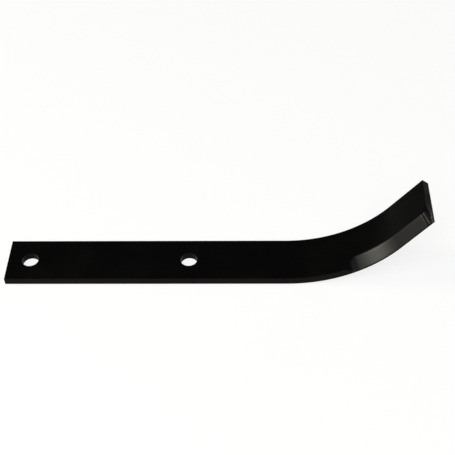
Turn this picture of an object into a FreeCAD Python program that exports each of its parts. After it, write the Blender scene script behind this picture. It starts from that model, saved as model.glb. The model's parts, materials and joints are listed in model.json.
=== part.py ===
"""Rotary tiller blade, in millimetres.

A flat bar lies on its underside (Z = 0), with its length along X and its width across Y. The origin is
the centre of the outer bolt hole, in the underside. Past the shank the bar bends upwards about an axis
across its width, and ends in a straight tip. A bevel on the inside of the curve thins the -Y edge to a
cutting edge, over the last part of the bend and the whole tip.
"""

import FreeCAD, Part
import math
import os

import Sketcher

NODE = "tiller_blade"

SIZES = {
    # bar stock
    "bar_width": 40,
    "bar_thickness": 6,
    "rolled_edge_radius": 0.5,
    # straight shank and its two bolt holes
    "hole_end_margin": 17.5,
    "hole_spacing": 125,
    "hole_diameter": 13,
    "hole_edge_break": 0.4,
    "bend_start": 201.5,
    # bend and straight tip
    "bend_inner_radius": 99,
    "bend_angle": 52.5,
    "tip_length": 34.5,
    # bevelled cutting edge: its width and length over the face, and the thickness it leaves
    "bevel_width": 10,
    "bevel_length": 72.5,
    "edge_land": 1.2,
    "run_out_radius": 10,
    "tip_facet_length": 3,
    "tip_facet_drop": 0.8,
}

# how far the bevel's cutter reaches past the bar on each side, as a share of the bevel's section
CUTTER_OVERRUN = 0.2

# lengths and angles that follow from the sizes, as expressions on the sheet
HALF_WIDTH = "Sizes.bar_width / 2"
OUTER_RADIUS = "(Sizes.bend_inner_radius + Sizes.bar_thickness)"
MIDDLE_RADIUS = "(Sizes.bend_inner_radius + Sizes.bar_thickness / 2)"
LAND_RADIUS = f"({OUTER_RADIUS} - Sizes.edge_land)"
BEVEL_DEPTH = "(Sizes.bar_thickness - Sizes.edge_land)"
BEVEL_SWEEP = f"((Sizes.bevel_length - Sizes.tip_length) / {MIDDLE_RADIUS} * 180 / pi)"
BEVEL_START_ANGLE = f"(Sizes.bend_angle - {BEVEL_SWEEP})"

START, END, CENTRE = 1, 2, 3
ORIGIN = (-1, START)
X_AXIS = -1
TOUCHING = 1e-4

document = FreeCAD.newDocument("TillerBlade")
sheet = document.addObject("Spreadsheet::Sheet", "Sizes")
for row, (alias, value) in enumerate(SIZES.items(), start=1):
    sheet.set(f"A{row}", alias)
    sheet.set(f"B{row}", str(value))
    sheet.setAlias(f"B{row}", alias)
document.recompute()

body = document.addObject("PartDesign::Body", NODE)
body.Label = NODE

bend_angle = math.radians(SIZES["bend_angle"])
outer_radius = SIZES["bend_inner_radius"] + SIZES["bar_thickness"]
bend_axis = FreeCAD.Vector(SIZES["bend_start"], 0, outer_radius)
tip_direction = FreeCAD.Vector(math.cos(bend_angle), 0, math.sin(bend_angle))
tip_up = FreeCAD.Vector(-math.sin(bend_angle), 0, math.cos(bend_angle))


def new_sketch(name, role):
    """Start a sketch on one of the body's own origin planes."""
    plane = next(feature for feature in body.Origin.OriginFeatures if feature.Role == role)
    sketch = body.newObject("Sketcher::SketchObject", name)
    sketch.AttachmentSupport = (plane, [""])
    sketch.MapMode = "FlatFace"
    return sketch


def dimension(sketch, name, expression, *constraint):
    """Add a driving dimension and bind it to the sheet."""
    index = sketch.addConstraint(Sketcher.Constraint(*constraint))
    sketch.renameConstraint(index, name)
    sketch.setExpression(f"Constraints.{name}", expression)


def add_cut(kind, name, profile):
    """Start a pocket or groove of the body from a sketch."""
    feature = body.newObject(f"PartDesign::{kind}", name)
    feature.Profile = profile
    return feature


def check_cut(feature, base):
    """Stop if a cut has taken nothing off the solid."""
    document.recompute()
    if feature.Shape.Volume > base.Shape.Volume - TOUCHING:
        raise RuntimeError(f"{feature.Name} cuts nothing")


def edge_names(feature, chosen):
    """Return the names of a feature's edges that pass the test."""
    return [f"Edge{index}" for index, edge in enumerate(feature.Shape.Edges, start=1) if chosen(edge)]


def bar_height(point):
    """Return a point's height above the bar's underside, along the shank or past the bend."""
    if point.x < SIZES["bend_start"] + TOUCHING:
        return point.z
    return outer_radius + (point - bend_axis).dot(tip_up)


def is_long_edge(edge):
    """Tell an edge that runs along the bar from one that crosses it or stands at its ends."""
    first, last = (vertex.Point for vertex in edge.Vertexes)
    same_side = abs(first.y - last.y) < TOUCHING
    return same_side and abs(bar_height(first) - bar_height(last)) < TOUCHING


def is_upper_rim(edge):
    """Tell the round edges that the bolt holes leave in the shank's upper face."""
    if not isinstance(edge.Curve, Part.Circle):
        return False
    upper = abs(edge.Curve.Center.z - SIZES["bar_thickness"]) < TOUCHING
    return upper and abs(edge.Curve.Radius - SIZES["hole_diameter"] / 2) < TOUCHING


def is_bevel_end(edge):
    """Tell the slanting edge that the bevel leaves on the tip's end face."""
    points = [vertex.Point for vertex in edge.Vertexes]
    at_end = all(
        abs((point - bend_axis).dot(tip_direction) - SIZES["tip_length"]) < TOUCHING for point in points
    )
    return at_end and abs(points[0].y - points[-1].y) > SIZES["bevel_width"] / 2 and (
        abs(bar_height(points[0]) - bar_height(points[-1])) > SIZES["edge_land"] / 2
    )


def draw_side_profile():
    """Draw the bent bar seen from its side: shank, concentric arcs and tip."""
    sketch = new_sketch("SideProfile", "XZ_Plane")
    centre = FreeCAD.Vector(bend_axis.x, bend_axis.z, 0)
    along = FreeCAD.Vector(tip_direction.x, tip_direction.z, 0)
    outward = FreeCAD.Vector(along.y, -along.x, 0)
    shank_end = -SIZES["hole_end_margin"]
    thickness = SIZES["bar_thickness"]
    heel = [FreeCAD.Vector(shank_end, height, 0) for height in (0, thickness)]
    bend_in = [FreeCAD.Vector(centre.x, height, 0) for height in (0, thickness)]
    bend_out = [centre + outward * radius for radius in (outer_radius, SIZES["bend_inner_radius"])]
    tip = [point + along * SIZES["tip_length"] for point in bend_out]

    def arc(radius):
        circle = Part.Circle(centre, FreeCAD.Vector(0, 0, 1), radius)
        return Part.ArcOfCircle(circle, -math.pi / 2, bend_angle - math.pi / 2)

    underside = sketch.addGeometry(Part.LineSegment(heel[0], bend_in[0]))
    outer_arc = sketch.addGeometry(arc(outer_radius))
    tip_underside = sketch.addGeometry(Part.LineSegment(bend_out[0], tip[0]))
    tip_end = sketch.addGeometry(Part.LineSegment(tip[0], tip[1]))
    tip_top = sketch.addGeometry(Part.LineSegment(tip[1], bend_out[1]))
    inner_arc = sketch.addGeometry(arc(SIZES["bend_inner_radius"]))
    top = sketch.addGeometry(Part.LineSegment(bend_in[1], heel[1]))
    heel_end = sketch.addGeometry(Part.LineSegment(heel[1], heel[0]))

    joints = [
        ("Tangent", underside, END, outer_arc, START),
        ("Tangent", outer_arc, END, tip_underside, START),
        ("Coincident", tip_underside, END, tip_end, START),
        ("Coincident", tip_end, END, tip_top, START),
        ("Tangent", tip_top, END, inner_arc, END),
        ("Tangent", inner_arc, START, top, START),
        ("Coincident", top, END, heel_end, START),
        ("Coincident", heel_end, END, underside, START),
        ("Coincident", outer_arc, CENTRE, inner_arc, CENTRE),
        ("Horizontal", underside),
        ("Horizontal", top),
        ("Vertical", heel_end),
        ("Parallel", tip_underside, tip_top),
        ("Perpendicular", tip_underside, tip_end),
        ("PointOnObject", underside, START, X_AXIS),
    ]
    for joint in joints:
        sketch.addConstraint(Sketcher.Constraint(*joint))

    dimension(
        sketch, "end_margin", "Sizes.hole_end_margin",
        "DistanceX", underside, START, *ORIGIN, SIZES["hole_end_margin"],
    )
    dimension(
        sketch, "bend_start", "Sizes.bend_start",
        "DistanceX", *ORIGIN, underside, END, SIZES["bend_start"],
    )
    dimension(sketch, "thickness", "Sizes.bar_thickness", "Distance", heel_end, thickness)
    dimension(
        sketch, "inner_radius", "Sizes.bend_inner_radius",
        "Radius", inner_arc, SIZES["bend_inner_radius"],
    )
    dimension(
        sketch, "bend_angle", "Sizes.bend_angle * 1 deg",
        "Angle", X_AXIS, START, tip_underside, START, bend_angle,
    )
    dimension(sketch, "tip_length", "Sizes.tip_length", "Distance", tip_underside, SIZES["tip_length"])
    return sketch


def draw_bolt_holes():
    """Draw the two bolt holes on the shank's centre line."""
    sketch = new_sketch("BoltHoles", "XY_Plane")
    upright = FreeCAD.Vector(0, 0, 1)
    radius = SIZES["hole_diameter"] / 2
    outer = sketch.addGeometry(Part.Circle(FreeCAD.Vector(0, 0, 0), upright, radius))
    inner_centre = FreeCAD.Vector(SIZES["hole_spacing"], 0, 0)
    inner = sketch.addGeometry(Part.Circle(inner_centre, upright, radius))
    sketch.addConstraint(Sketcher.Constraint("Coincident", outer, CENTRE, *ORIGIN))
    sketch.addConstraint(Sketcher.Constraint("PointOnObject", inner, CENTRE, X_AXIS))
    sketch.addConstraint(Sketcher.Constraint("Equal", outer, inner))
    dimension(
        sketch, "diameter", "Sizes.hole_diameter", "Diameter", outer, SIZES["hole_diameter"]
    )
    dimension(
        sketch, "spacing", "Sizes.hole_spacing",
        "DistanceX", outer, CENTRE, inner, CENTRE, SIZES["hole_spacing"],
    )
    return sketch


def draw_bevel_section(name, angle, lift, reach):
    """Draw the triangle that the bevel takes off the bar, seen along the bar.

    The section stands square to the bar where it has turned by angle. Its sketch has its origin lift
    outside the bend's axis, on the way to the bar, and the cutting edge's land lies reach below that.
    """
    sketch = new_sketch(name, "YZ_Plane")
    sketch.AttachmentOffset = FreeCAD.Placement(
        FreeCAD.Vector(0, bend_axis.z, bend_axis.x),
        FreeCAD.Rotation(FreeCAD.Vector(-1, 0, 0), SIZES["bend_angle"]),
    )
    sketch.setExpression("AttachmentOffset.Rotation.Angle", f"{angle} * 1 deg")
    sketch.setExpression(
        "AttachmentOffset.Base.y", f"{OUTER_RADIUS} - {lift} * cos({angle} * 1 deg)"
    )
    sketch.setExpression(
        "AttachmentOffset.Base.z", f"Sizes.bend_start + {lift} * sin({angle} * 1 deg)"
    )

    beside = SIZES["bar_width"] / 2 + CUTTER_OVERRUN * SIZES["bevel_width"]
    depth = SIZES["bar_thickness"] - SIZES["edge_land"]
    span = 1 + 2 * CUTTER_OVERRUN
    corner = FreeCAD.Vector(-beside, -depth, 0)
    shoulder = corner + FreeCAD.Vector(span * SIZES["bevel_width"], 0, 0)
    below = corner - FreeCAD.Vector(0, span * depth, 0)
    above_face = sketch.addGeometry(Part.LineSegment(corner, shoulder))
    bevel = sketch.addGeometry(Part.LineSegment(shoulder, below))
    beside_edge = sketch.addGeometry(Part.LineSegment(below, corner))
    sketch.addConstraint(Sketcher.Constraint("Coincident", above_face, END, bevel, START))
    sketch.addConstraint(Sketcher.Constraint("Coincident", bevel, END, beside_edge, START))
    sketch.addConstraint(Sketcher.Constraint("Coincident", beside_edge, END, above_face, START))
    sketch.addConstraint(Sketcher.Constraint("Horizontal", above_face))
    sketch.addConstraint(Sketcher.Constraint("Vertical", beside_edge))
    dimension(
        sketch, "beside", f"{HALF_WIDTH} + {CUTTER_OVERRUN} * Sizes.bevel_width",
        "DistanceX", above_face, START, *ORIGIN, beside,
    )
    dimension(
        sketch, "above", f"{reach} - {1 + CUTTER_OVERRUN} * {BEVEL_DEPTH}",
        "DistanceY", above_face, START, *ORIGIN, depth,
    )
    dimension(
        sketch, "width", f"{span} * Sizes.bevel_width",
        "DistanceX", above_face, START, above_face, END, span * SIZES["bevel_width"],
    )
    dimension(
        sketch, "depth", f"{span} * {BEVEL_DEPTH}",
        "DistanceY", beside_edge, START, beside_edge, END, span * depth,
    )
    return sketch


def make_bar():
    """Pad the side profile across the width and round the bar's long edges."""
    bar = body.newObject("PartDesign::Pad", "Bar")
    bar.Profile = draw_side_profile()
    bar.SideType = "Symmetric"
    bar.setExpression("Length", "Sizes.bar_width")
    document.recompute()
    rolled = body.newObject("PartDesign::Fillet", "RolledEdges")
    rolled.Base = (bar, edge_names(bar, is_long_edge))
    rolled.setExpression("Radius", "Sizes.rolled_edge_radius")
    document.recompute()
    return rolled


def cut_holes(base):
    """Cut the bolt holes through the shank and break their upper rims."""
    holes = add_cut("Pocket", "BoltHoleCut", draw_bolt_holes())
    holes.Type = "ThroughAll"
    holes.Reversed = True
    check_cut(holes, base)
    rims = body.newObject("PartDesign::Chamfer", "UpperRims")
    rims.Base = (holes, edge_names(holes, is_upper_rim))
    rims.setExpression("Size", "Sizes.hole_edge_break")
    document.recompute()
    return rims


def cut_bevel(base):
    """Cut the bevel round the bend and along the tip, and let it run out where it starts."""
    section = draw_bevel_section("BevelSection", "Sizes.bend_angle", "0", LAND_RADIUS)
    bend = add_cut("Groove", "BendBevel", section)
    bend.ReferenceAxis = (section, ["H_Axis"])
    bend.setExpression("Angle", f"{BEVEL_SWEEP} * 1 deg")
    bend.Reversed = False
    check_cut(bend, base)

    tip = add_cut("Pocket", "TipBevel", section)
    tip.setExpression("Length", f"Sizes.tip_length + {CUTTER_OVERRUN} * Sizes.bevel_width")
    tip.Reversed = True
    check_cut(tip, bend)

    run_out_section = draw_bevel_section(
        "RunOutSection", BEVEL_START_ANGLE, f"({LAND_RADIUS} - Sizes.run_out_radius)",
        "Sizes.run_out_radius",
    )
    run_out = add_cut("Groove", "BevelRunOut", run_out_section)
    run_out.ReferenceAxis = (run_out_section, ["H_Axis"])
    run_out.Angle = 90
    run_out.Reversed = False
    check_cut(run_out, tip)
    return run_out


def cut_tip_facet(base):
    """Take the small facet off the bevel where it meets the tip's end."""
    facet = body.newObject("PartDesign::Chamfer", "TipFacet")
    facet.Base = (base, edge_names(base, is_bevel_end))
    facet.ChamferType = "Two distances"
    facet.setExpression("Size", "Sizes.tip_facet_length")
    facet.setExpression("Size2", "Sizes.tip_facet_drop")
    check_cut(facet, base)
    return facet


def check_document():
    """Stop if any object failed or the body isn't one valid solid."""
    document.recompute()
    for item in document.Objects:
        if "Invalid" in item.State or "Error" in item.State:
            raise RuntimeError(f"{item.Name} failed: {item.State}")
    shape = body.Shape
    if shape.isNull() or not shape.isValid() or len(shape.Solids) != 1:
        raise RuntimeError(f"{NODE} is not one valid solid")


body.Tip = cut_tip_facet(cut_bevel(cut_holes(make_bar())))
check_document()

os.makedirs("parts", exist_ok=True)
body.Shape.exportStep(f"parts/{NODE}.step")
box = body.Shape.optimalBoundingBox()
print(f"{NODE}: volume {body.Shape.Volume:.1f} mm3, area {body.Shape.Area:.1f} mm2")
print(f"box {box.XMin:.2f}..{box.XMax:.2f}, {box.YMin:.2f}..{box.YMax:.2f}, {box.ZMin:.2f}..{box.ZMax:.2f}")
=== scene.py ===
"""Dresses a rotary tiller blade.

The blade is a black-painted steel bar with two bolt holes, a bent tip and a ground bevel.
"""

import json
import logging
import math
from dataclasses import dataclass, field
from enum import Enum
from typing import Callable, Iterable, Sequence, Union

import bmesh
import bpy
from mathutils import Matrix, Vector


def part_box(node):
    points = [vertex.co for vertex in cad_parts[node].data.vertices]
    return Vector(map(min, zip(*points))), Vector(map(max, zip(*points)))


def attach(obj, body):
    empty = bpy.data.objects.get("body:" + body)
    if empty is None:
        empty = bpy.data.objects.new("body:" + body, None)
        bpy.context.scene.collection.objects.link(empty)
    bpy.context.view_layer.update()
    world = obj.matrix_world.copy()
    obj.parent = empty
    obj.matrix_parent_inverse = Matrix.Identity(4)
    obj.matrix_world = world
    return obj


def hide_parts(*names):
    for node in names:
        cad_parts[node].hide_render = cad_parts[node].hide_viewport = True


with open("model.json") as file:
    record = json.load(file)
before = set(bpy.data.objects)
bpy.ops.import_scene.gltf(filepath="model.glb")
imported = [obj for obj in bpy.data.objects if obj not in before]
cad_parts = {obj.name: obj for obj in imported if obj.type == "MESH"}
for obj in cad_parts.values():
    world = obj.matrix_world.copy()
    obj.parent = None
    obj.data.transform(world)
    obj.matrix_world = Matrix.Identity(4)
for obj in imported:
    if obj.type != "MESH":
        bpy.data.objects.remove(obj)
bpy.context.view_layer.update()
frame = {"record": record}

MM = 0.001
NODE = "tiller_blade"
BODY = "root"
LOG = logging.getLogger("tiller_blade")

# How near in millimetres counts as touching, and how square a face must stand to face an axis.
TOUCHING = 1e-4
FACING = 0.8

Colour = tuple[float, float, float]


# ---------------------------------------------------------------- small tools


def smooth_step(low: float, high: float, x: float) -> float:
    """Rises smoothly from 0 at low to 1 at high."""
    t = min(max((x - low) / (high - low), 0.0), 1.0)
    return t * t * (3.0 - 2.0 * t)


def soft_min(a: float, b: float, blend: float) -> float:
    """Takes the lower of two heights, with the corner between them rounded.

    Args:
        a: The first height.
        b: The second height.
        blend: How far apart the heights are where the rounding starts.

    Returns:
        The rounded lower height.
    """
    near = max(blend - abs(a - b), 0.0) / blend
    return min(a, b) - near * near * blend / 4.0


def spaced(start: float, end: float, steps: int) -> list[float]:
    """Divides a stretch evenly, with its end and without its start."""
    return [start + (end - start) * step / steps for step in range(1, steps + 1)]


def rgba(colour: Colour) -> tuple[float, float, float, float]:
    """Gives a colour its opaque fourth number."""
    return (*colour, 1.0)


def shade(colour: Colour, share: float) -> Colour:
    """Makes a colour lighter or darker by a share."""
    return tuple(share * number for number in colour)


# ---------------------------------------------------------------- shader writing


Operand = Union["Signal", float]


@dataclass(frozen=True)
class Signal:
    """A number or colour on a node's socket, which takes part in Python expressions."""

    graph: "Graph"
    socket: bpy.types.NodeSocket | None

    def _with(self, operation: str, *operands: Operand) -> "Signal":
        """Adds one Math node.

        Args:
            operation: The Math node's operation.
            operands: The operands in the node's order.

        Returns:
            The node's result.
        """
        settings = {"operation": operation}
        return self.graph.add("ShaderNodeMath", settings, dict(enumerate(operands)))

    def __add__(self, other: Operand) -> "Signal":
        """Adds."""
        return self._with("ADD", self, other)

    __radd__ = __add__

    def __sub__(self, other: Operand) -> "Signal":
        """Takes other away from this."""
        return self._with("SUBTRACT", self, other)

    def __rsub__(self, other: Operand) -> "Signal":
        """Takes this away from other."""
        return self._with("SUBTRACT", other, self)

    def __mul__(self, other: Operand) -> "Signal":
        """Multiplies."""
        return self._with("MULTIPLY", self, other)

    __rmul__ = __mul__

    def clamp(self) -> "Signal":
        """Holds the number between 0 and 1."""
        return self.graph.add("ShaderNodeClamp", {}, {"Value": self, "Min": 0.0, "Max": 1.0})

    def smooth(self, low: float, high: float) -> "Signal":
        """Maps low to 0 and high to 1, smoothly and held at both ends.

        Args:
            low: The number that gives 0.
            high: The number that gives 1.

        Returns:
            The mapped number.
        """
        settings = {"interpolation_type": "SMOOTHSTEP"}
        inputs = {"Value": self, "From Min": low, "From Max": high, "To Min": 0.0, "To Max": 1.0}
        return self.graph.add("ShaderNodeMapRange", settings, inputs)


class Graph:
    """Writes the nodes of one material or world."""

    def __init__(self, tree: bpy.types.NodeTree) -> None:
        """Empties the tree and gets ready to add nodes."""
        self.tree = tree
        tree.nodes.clear()

    def add(
        self,
        kind: str,
        settings: dict[str, object] | None = None,
        inputs: dict[str | int, object] | None = None,
        output: str | int = 0,
    ) -> Signal:
        """Adds one node.

        Args:
            kind: The node's type.
            settings: The node's own properties, which are set first.
            inputs: Values or signals for its sockets, by name or by place.
            output: The socket that the signal stands for.

        Returns:
            The chosen output, or an empty signal where the node has none.
        """
        node = self.tree.nodes.new(kind)
        for name, value in (settings or {}).items():
            setattr(node, name, value)
        for name, value in (inputs or {}).items():
            self.feed(node.inputs[name], value)
        return Signal(self, node.outputs[output] if len(node.outputs) else None)

    def feed(self, socket: bpy.types.NodeSocket, value: object) -> None:
        """Links a signal to a socket, or sets the socket's own value.

        Args:
            socket: The input socket.
            value: A signal, or a plain number or colour.
        """
        if isinstance(value, Signal):
            self.tree.links.new(value.socket, socket)
        else:
            socket.default_value = value

    def mix_colour(self, factor: Operand, first: object, second: object) -> Signal:
        """Mixes two colours.

        Args:
            factor: How much of the second colour shows.
            first: The first colour.
            second: The second colour.

        Returns:
            The mixed colour.
        """
        settings = {"data_type": "RGBA", "blend_type": "MIX"}
        return self.add("ShaderNodeMix", settings, {0: factor, 6: first, 7: second}, output=2)

    def noise(
        self, place: Signal, scale: float, detail: float = 2.0, roughness: float = 0.5
    ) -> Signal:
        """Adds a noise pattern.

        Args:
            place: The coordinates that it reads.
            scale: Its number of waves to a metre.
            detail: Its octaves.
            roughness: How strong its finer octaves are.

        Returns:
            The pattern, from 0 to 1.
        """
        inputs = {"Vector": place, "Scale": scale, "Detail": detail, "Roughness": roughness}
        return self.add("ShaderNodeTexNoise", {"noise_dimensions": "3D"}, inputs)

    def stretched(self, place: Signal, scale: Sequence[float], turn: float = 0.0) -> Signal:
        """Stretches and turns coordinates.

        Args:
            place: The coordinates.
            scale: The stretch along each axis.
            turn: The turn about the third axis, in radians.

        Returns:
            The new coordinates.
        """
        inputs = {"Vector": place, "Scale": tuple(scale), "Rotation": (0.0, 0.0, turn)}
        return self.add("ShaderNodeMapping", {"vector_type": "POINT"}, inputs)

    def bump(
        self, height: Operand, depth: float, strength: float = 1.0, normal: Signal | None = None
    ) -> Signal:
        """Adds a bump.

        Args:
            height: The pattern, from 0 to 1.
            depth: How deep it is, in metres.
            strength: How much of it shows.
            normal: The bump below it.

        Returns:
            The bent normal.
        """
        inputs: dict[str | int, object] = {
            "Height": height,
            "Distance": depth,
            "Strength": strength,
        }
        if normal is not None:
            inputs["Normal"] = normal
        return self.add("ShaderNodeBump", {}, inputs)


# ---------------------------------------------------------------- finishes


class Layer(str, Enum):
    """The masks and the map that the blade's mesh carries for its paint."""

    GRIND = "grind"
    ARRIS = "arris"
    FLAT_MAP = "flat_map"


@dataclass(frozen=True)
class BlackPaint:
    """Semi-gloss black paint over hot-rolled steel, thin on corners and smooth on the bevel.

    Waves are counted to a metre, and depths are in metres.
    """

    film: Colour = (0.0020, 0.0020, 0.0020)
    thin_film: Colour = (0.0060, 0.0046, 0.0037)
    chalk: Colour = (0.0034, 0.0033, 0.0031)
    chalk_range: tuple[float, float] = (0.42, 0.72)
    chalk_share: float = 0.55
    thin_share: float = 0.8
    corner_wear: float = 0.35
    corner_patchiness: float = 0.9
    speck_range: tuple[float, float] = (0.64, 0.80)
    speck_share: float = 0.12
    roughness: float = 0.33
    ground_roughness: float = 0.36
    cloud_roughness: float = 0.10
    fine_roughness: float = 0.08
    specular_level: float = 0.03
    ground_gloss: float = 0.34
    mark_gloss: float = 0.08
    coat_ior: float = 1.5
    cloud_waves: float = 38.0
    speck_waves: float = 1900.0
    peel_waves: float = 620.0
    peel_depth: float = 0.010 * MM
    mill_waves: float = 140.0
    mill_stretch: tuple[float, float, float] = (0.35, 1.0, 1.0)
    mill_depth: float = 0.030 * MM
    mark_waves: float = 1500.0
    mark_stretch: tuple[float, float, float] = (1.0, 0.06, 1.0)
    mark_turn: float = 0.22
    mark_depth: float = 0.012 * MM
    relief: float = 0.8

    def material(self) -> bpy.types.Material:
        """Writes the paint's material.

        Returns:
            The new material.
        """
        made = bpy.data.materials.new("semi_gloss_black_paint")
        made.use_nodes = True
        graph = Graph(made.node_tree)
        place = graph.add("ShaderNodeTexCoord", output="Object")
        flat = graph.add("ShaderNodeUVMap", {"uv_map": Layer.FLAT_MAP.value})
        grind = self._mask(graph, Layer.GRIND)
        arris = self._mask(graph, Layer.ARRIS)

        peel = graph.noise(place, self.peel_waves, 1.5, 0.4)
        mill = graph.noise(graph.stretched(flat, self.mill_stretch), self.mill_waves, 4.0, 0.55)
        cloud = graph.noise(place, self.cloud_waves, 3.0, 0.55)
        speck = graph.noise(place, self.speck_waves, 1.0, 0.5).smooth(*self.speck_range)
        lines = graph.stretched(flat, self.mark_stretch, self.mark_turn)
        marks = graph.noise(lines, self.mark_waves, 3.0, 0.6)
        gloss = grind * (self.ground_gloss + (marks - 0.5) * self.mark_gloss)

        paint = graph.add(
            "ShaderNodeBsdfPrincipled",
            {},
            {
                "Base Color": self._colour(graph, arris, cloud, speck),
                "Roughness": self._roughness(grind, cloud, mill, marks),
                "Specular IOR Level": self.specular_level,
                "Coat Weight": gloss.clamp(),
                "Coat Roughness": self.roughness,
                "Coat IOR": self.coat_ior,
                "Normal": self._normal(graph, mill, marks * grind, peel),
            },
        )
        graph.add("ShaderNodeOutputMaterial", {}, {"Surface": paint})
        return made

    def _mask(self, graph: Graph, layer: Layer) -> Signal:
        """Reads one of the mesh's masks."""
        return graph.add("ShaderNodeAttribute", {"attribute_name": layer.value}, output="Fac")

    def _colour(self, graph: Graph, arris: Signal, cloud: Signal, speck: Signal) -> Signal:
        """Mixes the film, its chalky clouds and the thin brown film of corners and specks.

        Args:
            graph: The material's graph.
            arris: The mask of the rounded corners.
            cloud: The pattern of the clouds.
            speck: The pattern of the specks.

        Returns:
            The paint's colour.
        """
        worn = arris * (self.corner_wear + self.corner_patchiness * cloud)
        thin = (worn + speck * self.speck_share).clamp()
        chalky = cloud.smooth(*self.chalk_range) * self.chalk_share
        colour = graph.mix_colour(chalky, rgba(self.film), rgba(self.chalk))
        return graph.mix_colour(thin * self.thin_share, colour, rgba(self.thin_film))

    def _roughness(self, grind: Signal, cloud: Signal, mill: Signal, marks: Signal) -> Signal:
        """Varies the roughness with the clouds, the mill's waves and the grinding marks.

        Args:
            grind: The mask of the ground bevel.
            cloud: The pattern of the clouds.
            mill: The pattern of the mill's waves.
            marks: The pattern of the grinding marks.

        Returns:
            The paint's roughness.
        """
        rough = self.roughness + (cloud - 0.5) * self.cloud_roughness
        rough = rough + (mill - 0.5) * self.fine_roughness
        rough = rough + grind * (self.ground_roughness - self.roughness)
        return rough + grind * (marks - 0.5) * self.fine_roughness

    def _normal(self, graph: Graph, mill: Signal, ground_marks: Signal, peel: Signal) -> Signal:
        """Lays the paint's orange peel over the grinding marks and the mill's waves.

        Args:
            graph: The material's graph.
            mill: The pattern of the mill's waves.
            ground_marks: The pattern of the grinding marks, on the bevel alone.
            peel: The pattern of the orange peel.

        Returns:
            The bent normal.
        """
        normal = graph.bump(mill, self.mill_depth, self.relief)
        normal = graph.bump(ground_marks, self.mark_depth, self.relief, normal)
        return graph.bump(peel, self.peel_depth, 1.0, normal)


@dataclass(frozen=True)
class PaleFloor:
    """Plain matt white board, which stays white behind the part and keeps its shadow."""

    board: Colour = (0.90, 0.90, 0.90)
    grain_share: float = 0.985
    grain_waves: float = 900.0
    roughness: float = 0.85
    white: Colour = (1.0, 1.0, 1.0)
    glow: float = 0.80

    def material(self) -> bpy.types.Material:
        """Writes the floor's material.

        Returns:
            The new material.
        """
        made = bpy.data.materials.new("pale_board")
        made.use_nodes = True
        graph = Graph(made.node_tree)
        place = graph.add("ShaderNodeTexCoord", output="Object")
        grain = graph.noise(place, self.grain_waves, 2.0, 0.5)
        tone = graph.mix_colour(grain, rgba(self.board), rgba(shade(self.board, self.grain_share)))
        board = graph.add(
            "ShaderNodeBsdfPrincipled",
            {},
            {"Base Color": tone, "Roughness": self.roughness, "Specular IOR Level": 0.0},
        )
        white = graph.add("ShaderNodeEmission", {}, {"Color": rgba(self.white), "Strength": 1.0})
        camera, glossy, through = (
            graph.add("ShaderNodeLightPath", output=name)
            for name in ("Is Camera Ray", "Is Glossy Ray", "Is Transmission Ray")
        )
        seen = (camera + glossy + through).clamp() * self.glow
        shown = graph.add("ShaderNodeMixShader", {}, {0: seen, 1: board, 2: white})
        graph.add("ShaderNodeOutputMaterial", {}, {"Surface": shown})
        return made


@dataclass(frozen=True)
class BlackCloth:
    """Matt black cloth of a studio flag."""

    weave: Colour = (0.006, 0.006, 0.006)
    pile_share: float = 1.6
    pile_waves: float = 700.0

    def material(self) -> bpy.types.Material:
        """Writes the cloth's material.

        Returns:
            The new material.
        """
        made = bpy.data.materials.new("black_cloth")
        made.use_nodes = True
        graph = Graph(made.node_tree)
        place = graph.add("ShaderNodeTexCoord", output="Object")
        pile = graph.noise(place, self.pile_waves, 2.0, 0.6)
        tone = graph.mix_colour(pile, rgba(self.weave), rgba(shade(self.weave, self.pile_share)))
        cloth = graph.add(
            "ShaderNodeBsdfPrincipled",
            {},
            {"Base Color": tone, "Roughness": 1.0, "Specular IOR Level": 0.0},
        )
        graph.add("ShaderNodeOutputMaterial", {}, {"Surface": cloth})
        return made


# ---------------------------------------------------------------- the blade


@dataclass(frozen=True)
class BoltHole:
    """One drilled hole through the shank, in millimetres."""

    along: float
    radius: float


def bolt_holes(record: dict) -> list[BoltHole]:
    """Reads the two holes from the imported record.

    Args:
        record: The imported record.

    Returns:
        The holes, in order along the shank.
    """
    bores = [mount for mount in record["mounts"] if mount["kind"] == "bore"]
    return [BoltHole(mount["pos_m"][0] / MM, mount["dims"]["r_mm"]) for mount in bores]


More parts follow.
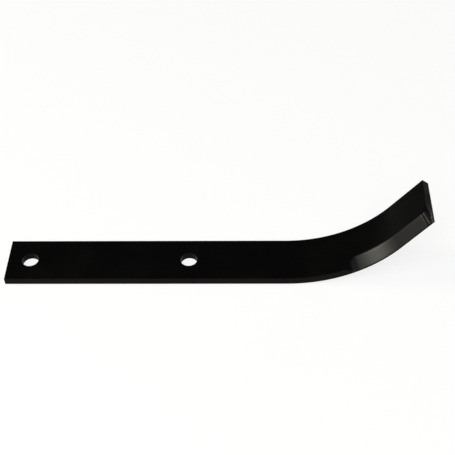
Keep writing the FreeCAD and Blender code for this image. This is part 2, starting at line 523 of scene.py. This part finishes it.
@dataclass
class TillerBlade:
    """The whole blade, shaped as a flat blank and then bent. Sizes are in millimetres."""

    holes: list[BoltHole]
    shank_end: float
    half_width: float
    thickness: float = 6.0

    bend_start: float = 201.5
    bend_inner_radius: float = 99.0
    bend_angle: float = 52.5
    tip_length: float = 34.5

    bevel_width: float = 10.3
    bevel_taper: float = 0.9
    bevel_length: float = 72.5
    edge_land: float = 1.2
    run_out_radius: float = 10.0
    shoulder_softness: float = 0.72
    roll_off_length: float = 3.6
    roll_off_radius: float = 2.4
    roll_off_limit: float = 0.45
    groove_place: float = 5.6
    groove_width: float = 0.55
    groove_depth: float = 0.07

    cut_slant: float = 0.075
    cut_square_to: float = 8.0
    cut_fade: float = 12.0

    corner_radius: float = 0.4
    corner_segments: int = 4
    end_radius: float = 0.2
    rim_radius: float = 0.12
    rim_band: float = 0.9
    rim_reach: float = 1.3
    fine_segments: int = 3
    sharp_angle: float = 38.0

    polish_depths: tuple[float, float] = (0.02, 0.35)
    polish_fade: tuple[float, float] = (-7.5, 3.5)
    polish_floor: float = 0.6
    crease_reach: float = 1.4
    crease_dullness: float = 0.9

    hole_steps: int = 64
    patch_half: float = 11.0
    edge_band: float = 0.9
    shank_steps: int = 12
    neck_steps: int = 9
    bend_step: float = 1.3
    tip_band: float = 7.0
    tip_cuts: tuple[float, ...] = (
        6.6, 6.3, 6.0, 5.7, 5.4, 5.1, 4.8, 4.5, 4.2, 3.9, 3.5, 3.1, 2.8, 2.5, 2.2, 1.9, 1.5, 1.1,
    )
    plain_cut: float = 15.5
    bevel_cuts: tuple[float, ...] = (-18.0, -17.0, -16.0, -15.0, -14.0, -13.0, -12.0)
    shoulder_cuts: tuple[float, ...] = (-2.2, -1.6, -1.1, -0.6, 0.45, 0.95)

    shading_weight: int = 60
    material: bpy.types.Material | None = field(default=None)

    @property
    def middle_radius(self) -> float:
        """The bend's radius at the middle of the bar's thickness."""
        return self.bend_inner_radius + self.thickness / 2.0

    @property
    def bend_end(self) -> float:
        """Where the bend ends, measured along the flat blank."""
        return self.bend_start + self.middle_radius * math.radians(self.bend_angle)

    @property
    def tip_end(self) -> float:
        """The blank's far end."""
        return self.bend_end + self.tip_length

    @property
    def bevel_start(self) -> float:
        """Where the bevel has its full depth, measured along the flat blank."""
        return self.tip_end - self.bevel_length

    def ground_height(self, along: float, across: float) -> float:
        """Gives the upper face's height after grinding.

        Args:
            along: The place along the blank.
            across: The place across it, from its middle line, lowest at the cutting edge.

        Returns:
            The height above the underside.
        """
        narrowing = self.bevel_taper * smooth_step(self.bevel_start, self.tip_end, along)
        slope = (self.thickness - self.edge_land) / (self.bevel_width - narrowing)
        bevel = self.edge_land + (across + self.half_width) * slope
        short = min(max(self.bevel_start - along, 0.0), self.run_out_radius)
        bevel += self.run_out_radius - math.sqrt(self.run_out_radius**2 - short**2)
        from_end = self.tip_end - along
        roll_off = max(self.roll_off_length - from_end, 0.0) ** 2 / (2.0 * self.roll_off_radius)
        from_groove = (from_end - self.groove_place) / self.groove_width
        groove = self.groove_depth * math.exp(-(from_groove**2))
        bevel -= min(roll_off, self.roll_off_limit * bevel) + groove
        return soft_min(self.thickness, bevel, self.shoulder_softness)

    def grind_share(self, along: float, across: float) -> float:
        """Says how smooth grinding left the surface at a place.

        The share fades out over the wheel's run-out and in the crease before the end.

        Args:
            along: The place along the blank.
            across: The place across it, from its middle line.

        Returns:
            The share, from 0 to 1.
        """
        depth = smooth_step(*self.polish_depths, self.thickness - self.ground_height(along, across))
        run_out = smooth_step(*(self.bevel_start + offset for offset in self.polish_fade), along)
        from_end = self.tip_end - along
        from_crease = (from_end - self.groove_place) / (self.crease_reach * self.groove_width)
        return depth * run_out * (1.0 - self.crease_dullness * math.exp(-(from_crease**2)))

    def bent(self, along: float, across: float, height: float) -> Vector:
        """Carries a point of the flat blank to the bent blade.

        Args:
            along: The place along the blank.
            across: The place across it.
            height: The height above the underside.

        Returns:
            The point in the part's frame, in millimetres.
        """
        over = height - self.thickness / 2.0
        bent_by = max((along - self.bend_start) / self.middle_radius, 0.0)
        turn = min(bent_by, math.radians(self.bend_angle))
        straight = max(along - self.bend_end, 0.0)
        start = min(along, self.bend_start)
        radius = self.middle_radius - over
        centre_height = self.thickness / 2.0 + self.middle_radius
        x = start + radius * math.sin(turn) + straight * math.cos(turn)
        z = centre_height - radius * math.cos(turn) + straight * math.sin(turn)
        return Vector((x, across, z))

    def cuts_along(self) -> list[float]:
        """Lists the places along the blank that get an edge loop.

        Returns:
            The places, in order from the shank's end.
        """
        first, second = self.holes
        tip_start = self.tip_end - self.tip_band
        bend_steps = round((tip_start - self.bend_start) / self.bend_step)
        gap_start, gap_end = first.along + self.patch_half, second.along - self.patch_half
        cuts = [hole.along + offset for hole in self.holes for offset in self._patch_offsets()]
        cuts += [-self.shank_end + self.edge_band, self.tip_end - self.edge_band]
        cuts += spaced(gap_start, gap_end, self.shank_steps)[:-1]
        cuts += spaced(second.along + self.patch_half, self.bend_start, self.neck_steps)
        cuts += spaced(self.bend_start, tip_start, bend_steps)
        cuts += [self.tip_end - offset for offset in self.tip_cuts]
        return sorted(cuts)

    def cuts_across(self) -> list[float]:
        """Lists the places across the blank that get an edge loop.

        Returns:
            The places, in order from the cutting edge.
        """
        shoulder = -self.half_width + self.bevel_width
        cuts = self._patch_offsets()
        cuts += [self.half_width - self.edge_band, -self.half_width + self.edge_band]
        cuts += [self.plain_cut, *self.bevel_cuts]
        cuts += [shoulder + offset for offset in self.shoulder_cuts]
        return sorted(cuts)

    def _patch_offsets(self) -> list[float]:
        """Places loops about a hole's centre so that they meet its circle evenly.

        Returns:
            The loops' distances from the centre, in order.
        """
        eighth = self.hole_steps // 8
        turns = (math.radians(45.0) * step / eighth for step in range(-eighth, eighth + 1))
        return [self.patch_half * math.tan(turn) for turn in turns]

    def _blank(self) -> bmesh.types.BMesh:
        """Makes the flat bar with its edge loops.

        Returns:
            The bar's mesh, in millimetres.
        """
        mesh = bmesh.new()
        bmesh.ops.create_cube(mesh, size=1.0)
        size = (self.tip_end + self.shank_end, 2.0 * self.half_width, self.thickness)
        centre = ((self.tip_end - self.shank_end) / 2.0, 0.0, self.thickness / 2.0)
        bmesh.ops.scale(mesh, verts=mesh.verts, vec=size)
        bmesh.ops.translate(mesh, verts=mesh.verts, vec=centre)
        for places, normal in (
            (self.cuts_along(), Vector((1, 0, 0))),
            (self.cuts_across(), Vector((0, 1, 0))),
        ):
            for place in places:
                bmesh.ops.bisect_plane(
                    mesh,
                    geom=[*mesh.verts, *mesh.edges, *mesh.faces],
                    dist=TOUCHING / 10.0,
                    plane_co=normal * place,
                    plane_no=normal,
                )
        return mesh

    def _drill(self, mesh: bmesh.types.BMesh, hole: BoltHole) -> None:
        """Opens one round hole through the flat bar.

        Args:
            mesh: The flat bar.
            hole: The hole to drill.
        """

        def in_patch(face: bmesh.types.BMFace) -> bool:
            """Says whether a flat face lies in the square about the hole.

            Args:
                face: The face.

            Returns:
                Whether the drill takes it away.
            """
            middle = face.calc_center_median()
            near = max(abs(middle.x - hole.along), abs(middle.y)) < self.patch_half
            return near and abs(face.normal.z) > FACING

        patch = [face for face in mesh.faces if in_patch(face)]
        bmesh.ops.delete(mesh, geom=patch, context="FACES")
        for level in (self.thickness, 0.0):
            for radius in (hole.radius + self.rim_band, hole.radius):
                self._close_in(mesh, hole, level, radius)
        open_edges = [edge for edge in mesh.edges if edge.is_boundary]
        bmesh.ops.bridge_loops(mesh, edges=open_edges)

    def _close_in(
        self, mesh: bmesh.types.BMesh, hole: BoltHole, level: float, radius: float
    ) -> None:
        """Draws the open edge of one face in to a circle about a hole.

        Args:
            mesh: The flat bar, open about the hole.
            hole: The hole.
            level: The height of the face.
            radius: The circle's radius.
        """
        rim = [
            edge
            for edge in mesh.edges
            if edge.is_boundary and all(abs(v.co.z - level) < TOUCHING for v in edge.verts)
        ]
        made = bmesh.ops.extrude_edge_only(mesh, edges=rim)["geom"]
        for vertex in (item for item in made if isinstance(item, bmesh.types.BMVert)):
            outwards = Vector((vertex.co.x - hole.along, vertex.co.y, 0.0)).normalized()
            arm = outwards * radius
            vertex.co = Vector((hole.along + arm.x, arm.y, level))

    def _grind(self, mesh: bmesh.types.BMesh) -> None:
        """Lowers the upper face to the bevel, with the side walls in proportion.

        Args:
            mesh: The flat bar.
        """
        for vertex in mesh.verts:
            share = vertex.co.z / self.thickness
            vertex.co.z = share * self.ground_height(vertex.co.x, vertex.co.y)

    def _slant_end(self, mesh: bmesh.types.BMesh) -> None:
        """Leans the sheared end back towards the upper face, more at the cutting edge's side.

        Args:
            mesh: The flat blade.
        """
        for vertex in mesh.verts:
            from_square = max(self.cut_square_to - vertex.co.y, 0.0)
            lean = self.cut_slant * from_square * vertex.co.z / self.thickness
            near_end = smooth_step(self.tip_end - self.cut_fade, self.tip_end, vertex.co.x)
            vertex.co.x -= lean * near_end

    def _round_corners(self, mesh: bmesh.types.BMesh) -> None:
        """Rounds every sharp edge and marks the roundings.

        Args:
            mesh: The flat blade.
        """
        layer = mesh.verts.layers.float.new(Layer.ARRIS.value)
        stages: tuple[tuple[Callable[[bmesh.types.BMEdge], bool], float, int], ...] = (
            (self._at_side, self.corner_radius, self.corner_segments),
            (self._at_end, self.end_radius, self.fine_segments),
            (self._at_hole, self.rim_radius, self.fine_segments),
        )
        for chosen, radius, segments in stages:
            made = bmesh.ops.bevel(
                mesh,
                geom=[edge for edge in mesh.edges if self._is_sharp(edge) and chosen(edge)],
                offset=radius,
                offset_type="OFFSET",
                segments=segments,
                profile=0.5,
                affect="EDGES",
                clamp_overlap=True,
                material=-1,
            )
            for vertex in made["verts"]:
                vertex[layer] = 1.0

    def _is_sharp(self, edge: bmesh.types.BMEdge) -> bool:
        """Says whether two faces meet at an edge in a corner."""
        sharp = math.radians(self.sharp_angle)
        return len(edge.link_faces) == 2 and edge.calc_face_angle() > sharp

    def _at_end(self, edge: bmesh.types.BMEdge) -> bool:
        """Says whether an edge borders one of the bar's two ends."""
        faces_end = any(abs(face.normal.x) > FACING for face in edge.link_faces)
        return faces_end and not self._at_hole(edge)

    def _at_side(self, edge: bmesh.types.BMEdge) -> bool:
        """Says whether an edge runs along one of the bar's long corners."""
        return not self._at_end(edge) and not self._at_hole(edge)

    def _at_hole(self, edge: bmesh.types.BMEdge) -> bool:
        """Says whether an edge belongs to a hole's rim.

        Args:
            edge: The edge.

        Returns:
            Whether it lies within reach of a hole.
        """
        middle = ((edge.verts[0].co + edge.verts[1].co) / 2.0).xy
        gaps = ((middle - Vector((hole.along, 0.0))).length / hole.radius for hole in self.holes)
        return any(gap < self.rim_reach for gap in gaps)

    def _map_flat(self, mesh: bmesh.types.BMesh) -> None:
        """Lays the flat blank's coordinates down as a map, and the ground share as a mask.

        Args:
            mesh: The flat blade.
        """
        flat_map = mesh.loops.layers.uv.new(Layer.FLAT_MAP.value)
        grind = mesh.verts.layers.float.new(Layer.GRIND.value)
        for vertex in mesh.verts:
            upper = vertex.co.z > self.polish_floor * self.ground_height(vertex.co.x, vertex.co.y)
            vertex[grind] = self.grind_share(vertex.co.x, vertex.co.y) if upper else 0.0
        for face in mesh.faces:
            for corner in face.loops:
                place = corner.vert.co
                corner[flat_map].uv = ((place.x + 0.5 * place.z) * MM, (place.y + place.z) * MM)

    def _bend(self, mesh: bmesh.types.BMesh) -> None:
        """Bends the flat blade and turns it to metres."""
        for vertex in mesh.verts:
            vertex.co = self.bent(vertex.co.x, vertex.co.y, vertex.co.z) * MM

    def build(self) -> bpy.types.Object:
        """Makes the blade's object.

        Returns:
            The finished blade, dressed and riding on the part's body.
        """
        mesh = self._blank()
        for hole in self.holes:
            self._drill(mesh, hole)
        self._grind(mesh)
        self._slant_end(mesh)
        bmesh.ops.recalc_face_normals(mesh, faces=mesh.faces)
        self._round_corners(mesh)
        self._map_flat(mesh)
        self._bend(mesh)
        bmesh.ops.remove_doubles(mesh, verts=mesh.verts, dist=1e-7)
        bmesh.ops.recalc_face_normals(mesh, faces=mesh.faces)
        for face in mesh.faces:
            face.smooth = True
        data = bpy.data.meshes.new("blade")
        mesh.to_mesh(data)
        mesh.free()
        blade = bpy.data.objects.new("blade", data)
        bpy.context.scene.collection.objects.link(blade)
        weighted = blade.modifiers.new("even_shading", "WEIGHTED_NORMAL")
        weighted.mode = "FACE_AREA"
        weighted.weight = self.shading_weight
        if self.material is not None:
            data.materials.append(self.material)
        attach(blade, BODY)
        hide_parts(NODE)
        return blade


# ---------------------------------------------------------------- the studio


def aim(item: bpy.types.Object, place: Vector, target: Vector) -> None:
    """Puts a lamp at a place and turns it to a target.

    Args:
        item: The lamp.
        place: Where it goes.
        target: What it faces.
    """
    item.location = place
    item.rotation_mode = "QUATERNION"
    item.rotation_quaternion = (target - place).to_track_quat("-Z", "Y")


def towards(azimuth: float, elevation: float) -> Vector:
    """Gives a direction from its angles.

    Args:
        azimuth: Degrees from +X towards +Y.
        elevation: Degrees above the floor.

    Returns:
        The unit direction.
    """
    a, e = math.radians(azimuth), math.radians(elevation)
    return Vector((math.cos(a) * math.cos(e), math.sin(a) * math.cos(e), math.sin(e)))


@dataclass(frozen=True)
class Softbox:
    """One soft rectangular lamp. Sizes are in metres and its power in watts."""

    name: str
    azimuth: float
    elevation: float
    distance: float
    width: float
    height: float
    power: float
    colour: Colour = (1.0, 1.0, 1.0)

    def build(self, target: Vector) -> bpy.types.Object:
        """Makes the lamp, aimed at a target.

        Args:
            target: What it faces.

        Returns:
            The lamp's object.
        """
        data = bpy.data.lights.new(self.name, "AREA")
        data.shape = "RECTANGLE"
        data.size = self.width
        data.size_y = self.height
        data.energy = self.power
        data.color = self.colour
        lamp = bpy.data.objects.new(self.name, data)
        bpy.context.scene.collection.objects.link(lamp)
        aim(lamp, target + towards(self.azimuth, self.elevation) * self.distance, target)
        return lamp


@dataclass(frozen=True)
class Sky:
    """The room: white at and below the horizon, falling to a dark ceiling."""

    wall: Colour = (1.0, 1.0, 1.0)
    ceiling: Colour = (0.012, 0.012, 0.012)
    fall_start: float = -0.02
    fall_end: float = 0.10

    def build(self) -> None:
        """Writes the world."""
        world = bpy.data.worlds.new("room")
        world.use_nodes = True
        graph = Graph(world.node_tree)
        direction = graph.add("ShaderNodeTexCoord", output="Generated")
        height = graph.add("ShaderNodeSeparateXYZ", {}, {"Vector": direction}, output="Z")
        fall = height.smooth(self.fall_start, self.fall_end)
        tone = graph.mix_colour(fall, rgba(self.wall), rgba(self.ceiling))
        glow = graph.add("ShaderNodeBackground", {}, {"Color": tone, "Strength": 1.0})
        graph.add("ShaderNodeOutputWorld", {}, {"Surface": glow})
        bpy.context.scene.world = world


@dataclass(frozen=True)
class Lens:
    """The camera, at a place in metres and turned by three angles in degrees."""

    place: tuple[float, float, float] = (0.17923, -0.501116, 0.571267)
    yaw: float = -2.64
    pitch: float = 46.52
    roll: float = -2.07
    focal: float = 76.448
    sensor: float = 36.0
    reach: tuple[float, float] = (0.01, 50.0)

    def build(self) -> bpy.types.Object:
        """Makes the camera and gives it to the scene.

        Returns:
            The camera's object.
        """
        yaw, pitch, roll = (math.radians(angle) for angle in (self.yaw, self.pitch, self.roll))
        level_reach = math.cos(pitch)
        ahead = Vector((math.sin(yaw) * level_reach, math.cos(yaw) * level_reach, -math.sin(pitch)))
        level = Vector((math.cos(yaw), -math.sin(yaw), 0.0))
        upright = level.cross(ahead)
        right = level * math.cos(roll) + upright * math.sin(roll)
        up = upright * math.cos(roll) - level * math.sin(roll)
        data = bpy.data.cameras.new("camera")
        data.sensor_width = self.sensor
        data.sensor_fit = "HORIZONTAL"
        data.lens = self.focal
        data.clip_start, data.clip_end = self.reach
        camera = bpy.data.objects.new("camera", data)
        turn = Matrix((right, up, -ahead)).transposed().to_4x4()
        camera.matrix_world = Matrix.Translation(Vector(self.place)) @ turn
        bpy.context.scene.collection.objects.link(camera)
        bpy.context.scene.camera = camera
        return camera


@dataclass
class Studio:
    """The floor, the lamps, the flag, the room and the camera. Sizes are in metres."""

    centre: Vector
    floor_level: float
    floor_radius: float = 6.0
    floor_segments: int = 96
    flag_height: float = 0.45
    flag_length: float = 1.3
    flag_setback: float = 0.30
    flag_past_centre: float = 0.12
    lens: Lens = field(default_factory=Lens)
    sky: Sky = field(default_factory=Sky)

    def lamps(self) -> list[Softbox]:
        """Lists the lamps.

        Returns:
            The lamp at the shank's side, the one behind the tip, and the large one in front.
        """
        return [
            Softbox("side_softbox", 176.0, 26.5, 2.0, 0.50, 0.45, 24.0, (1.0, 0.955, 0.82)),
            Softbox("rim_softbox", 42.0, 24.0, 2.0, 0.8, 0.7, 6.0, (1.0, 0.93, 0.86)),
            Softbox("front_softbox", -96.0, 56.0, 2.2, 1.9, 1.5, 54.0, (1.0, 0.99, 0.98)),
        ]

    def _floor(self) -> bpy.types.Object:
        """Makes the round floor board.

        Returns:
            The floor's object.
        """
        mesh = bmesh.new()
        bmesh.ops.create_circle(
            mesh, cap_ends=True, segments=self.floor_segments, radius=self.floor_radius
        )
        place = (self.centre.x, self.centre.y, self.floor_level)
        bmesh.ops.translate(mesh, verts=mesh.verts, vec=place)
        bmesh.ops.recalc_face_normals(mesh, faces=mesh.faces)
        return self._stage_piece("floor", mesh, PaleFloor().material())

    def _flag(self) -> bpy.types.Object:
        """Makes the upright black flag behind the part, which keeps its upper faces black.

        Returns:
            The flag's object, which only reflections show.
        """
        mesh = bmesh.new()
        upright = Matrix.Rotation(math.radians(90.0), 3, "X")
        place = Vector(
            (
                self.centre.x + self.flag_past_centre - self.flag_length / 2.0,
                self.flag_setback,
                self.floor_level + self.flag_height / 2.0,
            )
        )
        bmesh.ops.create_grid(mesh, x_segments=8, y_segments=4, size=0.5)
        bmesh.ops.scale(mesh, verts=mesh.verts, vec=(self.flag_length, self.flag_height, 1.0))
        bmesh.ops.rotate(mesh, verts=mesh.verts, cent=(0, 0, 0), matrix=upright)
        bmesh.ops.translate(mesh, verts=mesh.verts, vec=place)
        flag = self._stage_piece("black_flag", mesh, BlackCloth().material())
        flag.visible_camera = False
        flag.visible_shadow = False
        flag.visible_diffuse = False
        return flag

    def _stage_piece(
        self, name: str, mesh: bmesh.types.BMesh, finish: bpy.types.Material
    ) -> bpy.types.Object:
        """Turns a mesh into a piece of the stage.

        Args:
            name: The piece's name.
            mesh: Its mesh, which is freed.
            finish: Its material.

        Returns:
            The new object.
        """
        data = bpy.data.meshes.new(name)
        mesh.to_mesh(data)
        mesh.free()
        data.materials.append(finish)
        piece = bpy.data.objects.new(name, data)
        bpy.context.scene.collection.objects.link(piece)
        return piece

    def build(self) -> None:
        """Makes the whole studio."""
        self.sky.build()
        LOG.info("stage: %s", self._floor().name)
        LOG.info("stage: %s", self._flag().name)
        for lamp in self.lamps():
            LOG.info("lamp: %s", lamp.build(self.centre).name)
        LOG.info("camera: %s", self.lens.build().name)
        bpy.context.scene.view_settings.view_transform = "Standard"


def main() -> None:
    """Builds the dressed blade and its studio.
    """
    logging.basicConfig(level=logging.INFO, format="%(message)s")
    low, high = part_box(NODE)
    blade = TillerBlade(
        holes=bolt_holes(frame["record"]),
        shank_end=-low.x / MM,
        half_width=(high.y - low.y) / 2.0 / MM,
        material=BlackPaint().material(),
    ).build()
    LOG.info("piece: %s, %d faces", blade.name, len(blade.data.polygons))
    Studio(centre=(low + high) / 2.0, floor_level=low.z).build()


if __name__ == "__main__":
    main()
